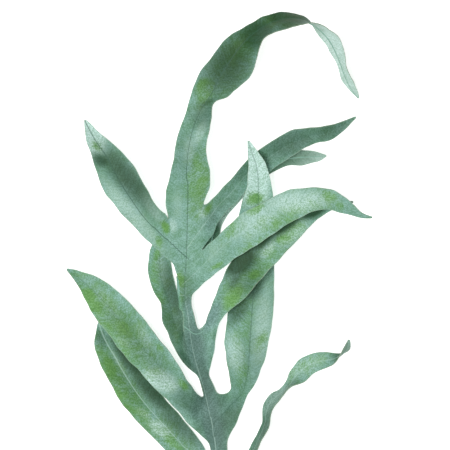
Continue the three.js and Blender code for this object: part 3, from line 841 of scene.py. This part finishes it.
def tubes(name, routes, sides):
    """Round tubes along routes, each a pair of points and radii in millimetres, as one mesh."""
    bpy.ops.curve.primitive_bezier_curve_add()
    piece = bpy.context.object
    piece.name = name
    curve = piece.data
    curve.splines.clear()
    for points, radii in routes:
        spline = curve.splines.new("POLY")
        spline.points.add(len(points) - 1)
        rows = np.column_stack([np.asarray(points) * MM, np.ones(len(points))])
        spline.points.foreach_set("co", rows.ravel())
        spline.points.foreach_set("radius", np.asarray(radii))
        spline.use_smooth = True
    curve.bevel_depth = MM
    # A round bevel has four sides and two more for each step of its resolution.
    curve.bevel_resolution = sides // 2 - 2
    curve.use_fill_caps = True
    bpy.ops.object.select_all(action="DESELECT")
    piece.select_set(True)
    bpy.context.view_layer.objects.active = piece
    bpy.ops.object.convert(target="MESH")
    return bpy.context.object


def on_sheet(points, radii, peak):
    """Centres of a tube whose top lies `peak` times its radius above the sheet's upper side."""
    centres = []
    for point, radius in zip(points, radii):
        above = Vector(point) * MM
        # The nearest place of a slope lies aside, so the point comes down in a few steps.
        for step in range(LAYING_STEPS):
            found, place, normal, face = blade.closest_point_on_mesh(above)
            above.z = place.z
        rise = radius * peak + BLADE_THICKNESS / 2
        centres.append(np.array(place + normal * (rise - radius) * MM) / MM)
    return np.array(centres)


def refine(points, step):
    """The points of a smooth line through some others, a step apart."""
    fine = smooth(points, np.linspace(0, 1, SAMPLES * len(points)))
    length = np.concatenate([[0], np.cumsum(np.linalg.norm(np.diff(fine, axis=0), axis=1))])
    places = np.linspace(0, length[-1], int(length[-1] / step) + 2)
    return np.column_stack([np.interp(places, length, fine[:, k]) for k in range(3)])


def rib_route(points, radii, peak=RIB_PEAK):
    """A midrib laid on the sheet, thinning towards its tip."""
    line = refine(points - np.array([*REST, 0]), RIB_STEP)
    thickness = np.interp(np.linspace(0, 1, len(line)), (0, 1), radii)
    return on_sheet(line, thickness, peak), thickness


half = AXIS_COLUMNS // 2
routes = []
for lobe in LOBES:
    points = lobe_rows(lobe)[0][:, lobe["columns"] // 2]
    if lobe["name"] in RIB_ROWS:
        leaves = smooth(axis_points[:, half], [RIB_ROWS[lobe["name"]] / (len(axis_points) - 1)])
        goal = points[ROOT_ROWS]
        shares = np.arange(STRAIGHT_POINTS) / STRAIGHT_POINTS
        straight = [leaves[0] + (goal - leaves[0]) * share for share in shares]
        points = np.vstack([straight, points[ROOT_ROWS:]])
    routes.append(rib_route(points, RIB_RADII))
routes.append(rib_route(np.array(LIP), LIP_RADII, LIP_PEAK))
rod_end = int(len(axis_points) * STALK_TOP + 0.5)
routes.append(rib_route(axis_points[rod_end - 2 :, half], TOP_RADII))
midribs = tubes("midribs", routes, RIB_SIDES)
print("midribs:", len(midribs.data.polygons), "faces")

# %% [markdown]
# ## Lines along the midribs
# A midrib shows as a fine line on the blade: painted shade where it lies in a groove, and where it is a
# ridge a pale line, partly its own paler colour and partly a painted highlight. It is finer than the sheet's
# faces, so it can't be painted on points. A signed distance from the nearest midrib can, because it changes
# evenly over a face, and the material draws a sharp line from it.

# %% Distance from the midribs
# The tone of each line at its root and its tip: painted groove shade above 0, and below 0 a pale line that
# is partly the midrib's own colour and partly a painted highlight. The frond's own midrib has three
# stretches, of which the lowest ends at this y among the stations.
LINE_SHADE_AND_HIGHLIGHT = {
    "left_4": (-0.6, -0.6),
    "left_3": (0.3, 0.2),
    "left_2": (0.4, 0.3),
    "folded": (-0.35, -0.35),
    "left_1": (1, 0.7),
    "right_4": (-0.3, -0.5),
    "right_3": (0.7, 0.4),
    "right_2": (0.3, 0.1),
    "right_middle": (-0.35, -0.1),
    "right_1": (-0.6, 0.2),
    "top": (0.9, 0.35),
    "axis": (-0.55, -0.55),
    "middle": (0.7, 0.9),
}
AXIS_LINE_TOP = 70


def from_lines(names, lines):
    """Signed distance of each point of the blade from the nearest line, and the line's tone there."""
    spine = np.vstack(lines)
    forward = np.vstack([unit(np.gradient(line, axis=0)) for line in lines])
    tones = np.concatenate([np.linspace(*LINE_SHADE_AND_HIGHLIGHT[name], len(line)) for name, line in zip(names, lines)])
    tree = kdtree.KDTree(len(spine))
    for i, place in enumerate(spine):
        tree.insert(place, i)
    tree.balance()
    near = np.array([tree.find(point)[1] for point in points])
    away = points - spine[near]
    passed = np.clip(np.sum(away * forward[near], axis=1, keepdims=True), -RIB_STEP, RIB_STEP)
    away -= passed * forward[near]
    side = np.sign(np.sum(np.cross(away, forward[near]) * normals, axis=1))
    return side * np.linalg.norm(away, axis=1), tones[near]


points = read(blade.data, "vertices", "co", 3) / MM
normals = read(blade.data, "vertices", "normal", 3)
axis_line = rib_route(axis_points[: rod_end - 1, half], (TOP_RADII[0], TOP_RADII[0]))[0]
low = axis_line[:, 1] + REST[1] < AXIS_LINE_TOP
spine_names = ["axis", "middle", "top"]
spine_lines = [axis_line[low], axis_line[~low], routes[-1][0]]
lobe_names = [lobe["name"] for lobe in LOBES]
lobe_lines = [route[0] for route in routes[: len(LOBES)]]
for title, names, lines in (("spine", spine_names, spine_lines), ("rib", lobe_names, lobe_lines)):
    beside, tone = from_lines(names, lines)
    blade.data.attributes.new("beside " + title, "FLOAT", "POINT").data.foreach_set("value", beside)
    blade.data.attributes.new("tone " + title, "FLOAT", "POINT").data.foreach_set("value", tone)
print("distances from", round(beside.min(), 1), "to", round(beside.max(), 1), "mm")

# %% [markdown]
# ## The stalk
# The stalk is round and runs on as the frond's midrib, just under the blade, where it stands out
# underneath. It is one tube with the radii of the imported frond. A fern's stalk has low ridges along it. A
# cut end shows pale tissue inside a thin skin, so the lowest facet of the end is inset, and what lies inside
# of the inset gets a surface of its own.

# %% Stalk
STALK_SIDES = 32
STALK_POINTS = 300
# How deep the rod's centre lies under the sheet, in radii, at the blade's foot and at the rod's end.
STALK_SINK = (1, 1.14)
# For each ridge: its place round the stalk in degrees, its height in mm and its half width in degrees.
STALK_RIDGES = [(125, 0.3, 14), (62, 0.16, 16), (0, 0.2, 18), (180, 0.2, 18)]
RIDGE_FADE = 20
CUT_SKIN = 0.35
CUT_DEPTH = 0.2

# Under the blade the rod follows every second row of the axis.
places = [list(place) for place in STALK]
radii = [STALK_RADII[0] + (STALK_RADII[1] - STALK_RADII[0]) * i / len(STALK) for i in range(len(STALK))]
for i in range(0, rod_end + 1, 2):
    share = i / rod_end
    radius = np.interp(share * (len(STALK_RADII) - 2), range(len(STALK_RADII) - 1), STALK_RADII[1:])
    sink = STALK_SINK[0] + (STALK_SINK[1] - STALK_SINK[0]) * share
    places.append(axis_points[i, half] - np.array([0, 0, sink * radius]))
    radii.append(radius)
centres = np.array(places) - np.array([*REST, 0])
line = smooth(np.column_stack([centres, radii]), np.linspace(0, 1, STALK_POINTS))
stalk = tubes("stalk", [(line[:, :3], line[:, 3])], STALK_SIDES)
points = read(stalk.data, "vertices", "co", 3) / MM
near = np.argmin(np.linalg.norm(points[:, None, :2] - line[None, :, :2], axis=2), axis=1)
course = unit(np.gradient(line[:, :3], axis=0))[near]
rightward = unit(np.cross(course, (0, 0, 1)))
away = points - line[near, :3]
angle = np.arctan2(away[:, 2], np.sum(away * rightward, axis=1))
ridge = np.zeros(len(points))
for turn, height, width in STALK_RIDGES:
    apart = np.abs((angle - math.radians(turn) + math.pi) % (2 * math.pi) - math.pi)
    ridge += height * np.exp(-((apart / math.radians(width)) ** 2))
bare = np.clip((AXIS[0][1] + RIDGE_FADE - points[:, 1] - REST[1]) / RIDGE_FADE, 0, 1)
points += unit(away) * (bare * ridge)[:, None]
stalk.data.vertices.foreach_set("co", (points * MM).ravel())
stalk.data.update()

bpy.ops.object.mode_set(mode="EDIT")
bpy.ops.mesh.select_all(action="DESELECT")
bpy.ops.object.mode_set(mode="OBJECT")
lowest = min(stalk.data.polygons, key=lambda face: face.center.y)
lowest.select = True
bpy.ops.object.mode_set(mode="EDIT")
bpy.ops.mesh.inset(thickness=CUT_SKIN * MM, depth=-CUT_DEPTH * MM)
bpy.ops.object.mode_set(mode="OBJECT")
for face in stalk.data.polygons:
    face.material_index = int(face.select)
print("stalk:", len(stalk.data.polygons), "faces; the cut end lies at y", round(points[:, 1].min()), "mm")

# %% [markdown]
# ## Grain of the blade
# Everything on the blade has a grain: the wax changes slowly, its patches are ragged, single specks show
# the tissue, and the side veins slant from the midrib to the margin, with wax and wear streaked along them.
# A noise for each size gives the first three. The last follows the map that was laid on the sheet.

# %% Grain
# Size in mm and detail of each noise.
NOISES = {"wide": (24, 2), "middle": (6, 3), "fine": (0.9, 1)}
NOISE_ROUGHNESS = 0.6
# Streaks along the side veins, in mm, how much they differ from place to place, and how far they swerve.
STREAK_WIDTH = 1.5
STREAK_LENGTH = 6
STREAK_CHANGE = 4
VEIN_SWERVE = 2.2


def add_grain(made):
    """The noises by name, and the distance along the midrib at which a place's side vein starts."""
    place = add(made, "ShaderNodeTexCoord").outputs["Object"]
    lamina = add(made, "ShaderNodeUVMap", uv_map="lamina").outputs["UV"]
    across, along, flat = add(made, "ShaderNodeSeparateXYZ", {"Vector": lamina}).outputs
    grain = {}
    for title, (size, detail) in NOISES.items():
        links = {"Vector": place, "Scale": 1 / (size * MM), "Detail": detail, "Roughness": NOISE_ROUGHNESS}
        grain[title] = add(made, "ShaderNodeTexNoise", links).outputs["Fac"]
    out = add(made, "ShaderNodeMath", {0: across}, operation="ABSOLUTE").outputs[0]
    links = {0: out, 1: -VEIN_LEAN, 2: along}
    slant = add(made, "ShaderNodeMath", links, operation="MULTIPLY_ADD").outputs[0]
    links = {0: grain["middle"], 1: VEIN_SWERVE, 2: slant}
    start = add(made, "ShaderNodeMath", links, operation="MULTIPLY_ADD").outputs[0]
    by_vein = add(made, "ShaderNodeCombineXYZ", {0: start, 1: across, 2: grain["wide"]}).outputs[0]
    links = {"Vector": by_vein, "Scale": (1 / STREAK_WIDTH, 1 / STREAK_LENGTH, STREAK_CHANGE)}
    stretched = add(made, "ShaderNodeMapping", links).outputs[0]
    links = {"Vector": stretched, "Scale": 1, "Detail": 3, "Roughness": NOISE_ROUGHNESS}
    grain["streak"] = add(made, "ShaderNodeTexNoise", links).outputs["Fac"]
    return grain, start


for title, (size, detail) in NOISES.items():
    print("the", title, "noise is", size, "mm wide")

# %% [markdown]
# ## Wax
# The wax scatters light, so the blade looks pale blue-green. It is thicker or thinner from place to place,
# thick on the bloomed patches, which also carry a painted sheen where lit crests would shine, gone on the
# rubbed ones and grey near the frond's midrib. The patches are smooth on the points, so noise is added to
# them before they are cut off, which makes their edges ragged.

# %% Wax
# Shares of the middle noise in the slow change, of the fine one in the streaks, and of the middle one in
# the raggedness of the patches.
SLOW_SHARE = 0.45
SPECK_SHARE = 0.5
RAGGED_SHARE = 0.35
# The bounds of the slow change between which the wax goes from normal to thin.
WAX_CHANGE = (0.38, 0.62)
# For each kind of patch: its wax or tissue, how ragged it is, and the sums at which it starts and is full.
PATCH_LOOKS = {
    # Thick wax that also paints the sheen of lit crests.
    "bloom": ("thick wax and sheen", 1.4, 0.75, 1.9),
    "rubbed": ("green", 3, 1.55, 2.65),
    "grey": ("grey wax", 2, 1.1, 2.1),
}


def add_wax(made, grain, colours, strengths):
    """The colour of the wax, with its patches."""
    links = {0: SLOW_SHARE, 2: grain["wide"], 3: grain["middle"]}
    changing = add(made, "ShaderNodeMix", links).outputs[0]
    links = {"Value": changing, "From Min": WAX_CHANGE[0], "From Max": WAX_CHANGE[1]}
    share = add(made, "ShaderNodeMapRange", links).outputs[0]
    links = {0: share, 6: linear(colours["wax"]), 7: linear(colours["thin wax"])}
    colour = add(made, "ShaderNodeMix", links, data_type="RGBA").outputs[2]
    links = {0: SPECK_SHARE, 2: grain["streak"], 3: grain["fine"]}
    grainy = add(made, "ShaderNodeMix", links).outputs[0]
    links = {0: RAGGED_SHARE, 2: grainy, 3: grain["middle"]}
    uneven = add(made, "ShaderNodeMix", links).outputs[0]
    for title, (look, ragged, low, high) in PATCH_LOOKS.items():
        patch = add(made, "ShaderNodeAttribute", attribute_name=title).outputs["Fac"]
        links = {0: uneven, 1: ragged, 2: patch}
        total = add(made, "ShaderNodeMath", links, operation="MULTIPLY_ADD").outputs[0]
        links = {"Value": total, "From Min": low, "From Max": high, "To Max": strengths[title]}
        share = add(made, "ShaderNodeMapRange", links, interpolation_type="SMOOTHSTEP").outputs[0]
        links = {0: share, 6: colour, 7: linear(colours[look])}
        colour = add(made, "ShaderNodeMix", links, data_type="RGBA").outputs[2]
    return colour


print("wax patches:", ", ".join(PATCH_LOOKS))

# %% [markdown]
# ## Painted shade, mottling and side veins
# Under the wax the tissue is mottled along the veins, and painted shade darkens the places that lie under
# other lobes, in folds and turned from the light. The side veins are fine lines with finer ones between
# them. All of these darken what lies on them, so each is multiplied in.

# %% Painted shade, mottling and veins
# For each mottling: its noise, and the bounds between which it sets in.
MOTTLES = {"mottle": ("streak", 0.36, 0.62), "speckle": ("fine", 0.42, 0.58)}
# Spacing of the side veins and of the finer ones in mm, and their widths as shares of it.
VEIN_WIDTHS = ((VEIN_SPACING, 0.07), (VEIN_SPACING / 4, 0.2))
FINE_VEIN_SHARE = 0.4


def add_shade_and_mottle(made, grain, colour, colours, strengths):
    """Darkens the colour with painted shade and mottles it."""
    deep = add(made, "ShaderNodeAttribute", attribute_name="deep").outputs["Fac"]
    share = add(made, "ShaderNodeMath", {0: deep, 1: strengths["deep"]}, operation="MULTIPLY").outputs[0]
    links = {0: share, 6: colour, 7: linear(colours["dark"])}
    colour = add(made, "ShaderNodeMix", links, data_type="RGBA", blend_type="MULTIPLY").outputs[2]
    for title, (noise_name, low, high) in MOTTLES.items():
        links = {"Value": grain[noise_name], "From Min": low, "From Max": high, "To Max": strengths[title]}
        share = add(made, "ShaderNodeMapRange", links, interpolation_type="SMOOTHSTEP").outputs[0]
        links = {0: share, 6: colour, 7: linear(colours["mottle"])}
        colour = add(made, "ShaderNodeMix", links, data_type="RGBA", blend_type="MULTIPLY").outputs[2]
    return colour


def add_veins(made, start):
    """How much of a side vein there is at a place, from 0 to 1."""
    veins = []
    for spacing, width in VEIN_WIDTHS:
        phase = add(made, "ShaderNodeMath", {0: start, 1: spacing}, operation="DIVIDE").outputs[0]
        turn = add(made, "ShaderNodeMath", {0: phase, 1: 1}, operation="PINGPONG").outputs[0]
        links = {"Value": turn, "From Min": 2 * width, "From Max": width / 2}
        veins.append(add(made, "ShaderNodeMapRange", links, interpolation_type="SMOOTHSTEP").outputs[0])
    return add(made, "ShaderNodeMix", {0: FINE_VEIN_SHARE, 2: veins[0], 3: veins[1]}).outputs[0]


print("side veins every", VEIN_SPACING, "mm")

# %% [markdown]
# ## Lines and margin
# Along each midrib runs a line a little to one side of it: painted shade where the midrib lies in a groove,
# and a pale line, partly its own colour and partly a painted highlight, where it is a ridge. The margin is a
# pale rim.
# Both are drawn from the distances on the points and fade at their edges. The real ones are finer: they are
# drawn this wide so that they show in the picture.

# %% Lines and margin
LINE_PLACE = 0.3
# The distances in mm at which a line and the margin are gone and are full.
LINE_FADE = (0.75, 0.2)
MARGIN_FADE = (0.7, 0.2)


def add_lines(made, colour, colours, strengths):
    """Draws the lines along the midribs, of painted shade and of pale colour with a painted highlight, and
    the pale margin over the colour.
    """
    for line in ("rib", "spine"):
        beside = add(made, "ShaderNodeAttribute", attribute_name="beside " + line).outputs["Fac"]
        tone = add(made, "ShaderNodeAttribute", attribute_name="tone " + line).outputs["Fac"]
        off = add(made, "ShaderNodeMath", {0: beside, 1: LINE_PLACE}, operation="ADD").outputs[0]
        distance = add(made, "ShaderNodeMath", {0: off}, operation="ABSOLUTE").outputs[0]
        links = {"Value": distance, "From Min": LINE_FADE[0], "From Max": LINE_FADE[1]}
        drawn = add(made, "ShaderNodeMapRange", links, interpolation_type="SMOOTHSTEP").outputs[0]
        # The dark line is painted shade in a groove; the pale one is a paler midrib with a painted
        # highlight.
        for sign, title in ((1, "painted groove shade"), (-1, "pale midrib and painted highlight")):
            links = {0: tone, 1: sign * strengths["line"]}
            amount = add(made, "ShaderNodeMath", links, operation="MULTIPLY", use_clamp=True).outputs[0]
            share = add(made, "ShaderNodeMath", {0: amount, 1: drawn}, operation="MULTIPLY").outputs[0]
            links = {0: share, 6: colour, 7: linear(colours[title])}
            colour = add(made, "ShaderNodeMix", links, data_type="RGBA").outputs[2]
    inward = add(made, "ShaderNodeAttribute", attribute_name="inward").outputs["Fac"]
    links = {"Value": inward, "From Min": MARGIN_FADE[0], "From Max": MARGIN_FADE[1]}
    links["To Max"] = strengths["margin"]
    share = add(made, "ShaderNodeMapRange", links, interpolation_type="SMOOTHSTEP").outputs[0]
    links = {0: share, 6: colour, 7: linear(colours["margin"])}
    return add(made, "ShaderNodeMix", links, data_type="RGBA").outputs[2]


print("lines drawn", 2 * LINE_FADE[0], "mm wide with their soft edges")

# %% [markdown]
# ## The blade's two sides
# A fern blade is a leathery green sheet under a bloom of wax. It gives the eye a pale, nearly matt
# blue-green with a soft sheen where the wax is whole, and a clear leaf green where it is rubbed. The
# underside has little colour of its own: it is paler, with fainter lines. Both are one material with two
# sets of colours, because the same tissue makes both.

# %% The blade's surfaces
LEAF_IOR = 1.36
# The veins' height compared with that of the streaks: they lie in grooves.
VEIN_HEIGHT = -1.2
BUMP = {"Strength": 0.3, "Distance": 0.2 * MM}


def blade_material(name, colours, strengths, roughness):
    """A blade surface: wax over green tissue, side veins, fine mottling, lines and a margin."""
    made = new_material(name)
    grain, start = add_grain(made)
    colour = add_wax(made, grain, colours, strengths)
    colour = add_shade_and_mottle(made, grain, colour, colours, strengths)
    veins = add_veins(made, start)
    links = {0: veins, 1: strengths["veins"]}
    share = add(made, "ShaderNodeMath", links, operation="MULTIPLY").outputs[0]
    links = {0: share, 6: colour, 7: linear(colours["vein"])}
    colour = add(made, "ShaderNodeMix", links, data_type="RGBA", blend_type="MULTIPLY").outputs[2]
    colour = add_lines(made, colour, colours, strengths)

    links = {0: veins, 1: VEIN_HEIGHT, 2: grain["streak"]}
    height = add(made, "ShaderNodeMath", links, operation="MULTIPLY_ADD").outputs[0]
    bump = add(made, "ShaderNodeBump", dict(BUMP, Height=height)).outputs["Normal"]
    links = {"Base Color": colour, "Roughness": roughness, "Normal": bump, "IOR": LEAF_IOR}
    finish_material(made, add(made, "ShaderNodeBsdfPrincipled", links))
    return made


# The dark colour is painted shade, the thick wax also paints sheen, the dark line paints a groove's shade
# and the pale line is a paler midrib with a painted highlight.
UPPER = {
    "wax": "#8DB5AB",
    "thin wax": "#75A28A",
    "thick wax and sheen": "#CDE7E3",
    "green": "#6FA452",
    "grey wax": "#7A9A98",
    "dark": "#55795D",
    "mottle": "#A6C1A8",
    "vein": "#93B298",
    "painted groove shade": "#315645",
    "pale midrib and painted highlight": "#A9C8BC",
    "margin": "#9DB29A",
}
STRENGTHS = {
    "bloom": 0.9,
    "rubbed": 0.9,
    "grey": 0.9,
    "deep": 1,
    "mottle": 0.26,
    "speckle": 0.55,
    "veins": 0.18,
    "line": 0.8,
    "margin": 0.3,
}
upper = blade_material("waxy fern blade, upper side", UPPER, STRENGTHS, 0.6)

UNDER = dict(UPPER)
# The underside is paler, and so is its painted shade.
UNDER.update({"wax": "#C3D9D4", "thin wax": "#B2CBC3", "dark": "#6F9078", "mottle": "#CAD8CC"})
FAINT = dict(STRENGTHS, line=0.3, rubbed=0.4)
under = blade_material("waxy fern blade, underside", UNDER, FAINT, 0.55)
print("blade surfaces:", upper.name, "and", under.name)

# %% [markdown]
# ## Rim, midrib, stalk and cut end
# These are small or smooth, so each needs only two near colours that change along a noise of its own size.

# %% Plain surfaces


def plain_material(name, colour, other, size, roughness):
    """A surface of two near colours in a noise whose size is in mm."""
    made = new_material(name)
    place = add(made, "ShaderNodeTexCoord").outputs["Object"]
    links = {"Vector": place, "Scale": 1 / (size * MM), "Detail": 3}
    grain = add(made, "ShaderNodeTexNoise", links).outputs[0]
    links = {0: grain, 6: linear(colour), 7: linear(other)}
    blend = add(made, "ShaderNodeMix", links, data_type="RGBA").outputs[2]
    bump = add(made, "ShaderNodeBump", dict(BUMP, Height=grain)).outputs[0]
    links = {"Base Color": blend, "Roughness": roughness, "IOR": LEAF_IOR, "Normal": bump}
    finish_material(made, add(made, "ShaderNodeBsdfPrincipled", links))
    return made


# A margin is dry and horny: a hair-thin edge, browner and a little glossier than the blade.
rim = plain_material("horny margin of the blade", "#6C8A76", "#8C967E", 4, 0.5)

# A midrib has a smooth skin with a thin bloom, which gives the lip of the notch its pale highlight.
rib_skin = plain_material("fern midrib", "#75A08F", "#86AE9D", 3, 0.55)

# A stalk's skin is under a grey bloom, so it looks darker, bluer and more matt than the blade.
bark = plain_material("waxy fern stalk", "#587C76", "#678A83", 6, 0.6)

# Cut tissue is pale yellow-green and finely speckled, since the cut opens its bundles.
pith = plain_material("cut stalk tissue", "#B9C79A", "#8FA874", 0.8, 0.6)
print("plain surfaces:", ", ".join(material.name for material in (rim, rib_skin, bark, pith)))

# %% [markdown]
# ## Thickness
# The sheet becomes a closed blade, half a millimetre thick, with its underside and its rim in slots of
# their own, because wax lies thickest above and the margin is a dry horny edge. A second sheet and a strip
# between them would do the same, but a solidify modifier keeps the two sides in step.

# %% Thickness
BLADE_SMOOTHING = 40

bpy.ops.object.select_all(action="DESELECT")
blade.select_set(True)
bpy.context.view_layer.objects.active = blade
for material in (upper, under, rim):
    blade.data.materials.append(material)
thick = blade.modifiers.new("thick", "SOLIDIFY")
thick.thickness = BLADE_THICKNESS * MM
thick.offset = 0
thick.use_even_offset = True
thick.use_quality_normals = True
thick.material_offset = 1
thick.material_offset_rim = 2
bpy.ops.object.modifier_apply(modifier=thick.name)
bpy.ops.object.shade_smooth_by_angle(angle=math.radians(BLADE_SMOOTHING))
print("the blade is", BLADE_THICKNESS, "mm thick, with", len(blade.data.polygons), "faces")

# %% [markdown]
# ## Last touches
# The round pieces get their surfaces and smooth shading. The frond lies on the table, so the few points of
# its lowest places that would reach below the surface are pressed flat on it.

# %% Finish the pieces
ROUND_SMOOTHING = 50


def press_flat(piece):
    """Nothing goes below the surface that the frond lies on."""
    points = read(piece.data, "vertices", "co", 3)
    points[:, 2] = np.maximum(points[:, 2], 0)
    piece.data.vertices.foreach_set("co", points.ravel())
    piece.data.update()


for piece, finishes in ((midribs, [rib_skin]), (stalk, [bark, pith])):
    for material in finishes:
        piece.data.materials.append(material)
    bpy.ops.object.select_all(action="DESELECT")
    piece.select_set(True)
    bpy.context.view_layer.objects.active = piece
    bpy.ops.object.shade_smooth_by_angle(angle=math.radians(ROUND_SMOOTHING))
for piece in (blade, midribs, stalk):
    press_flat(piece)
    piece.data.calc_loop_triangles()
    print(piece.name, len(piece.data.loop_triangles), "triangles")

# %% [markdown]
# ## Riding on the frame
# The frond doesn't move, so each piece rides on the one body and stands for the frond's node.

# %% Frame
for piece in (blade, midribs, stalk):
    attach(piece, "root")
    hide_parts("frond")
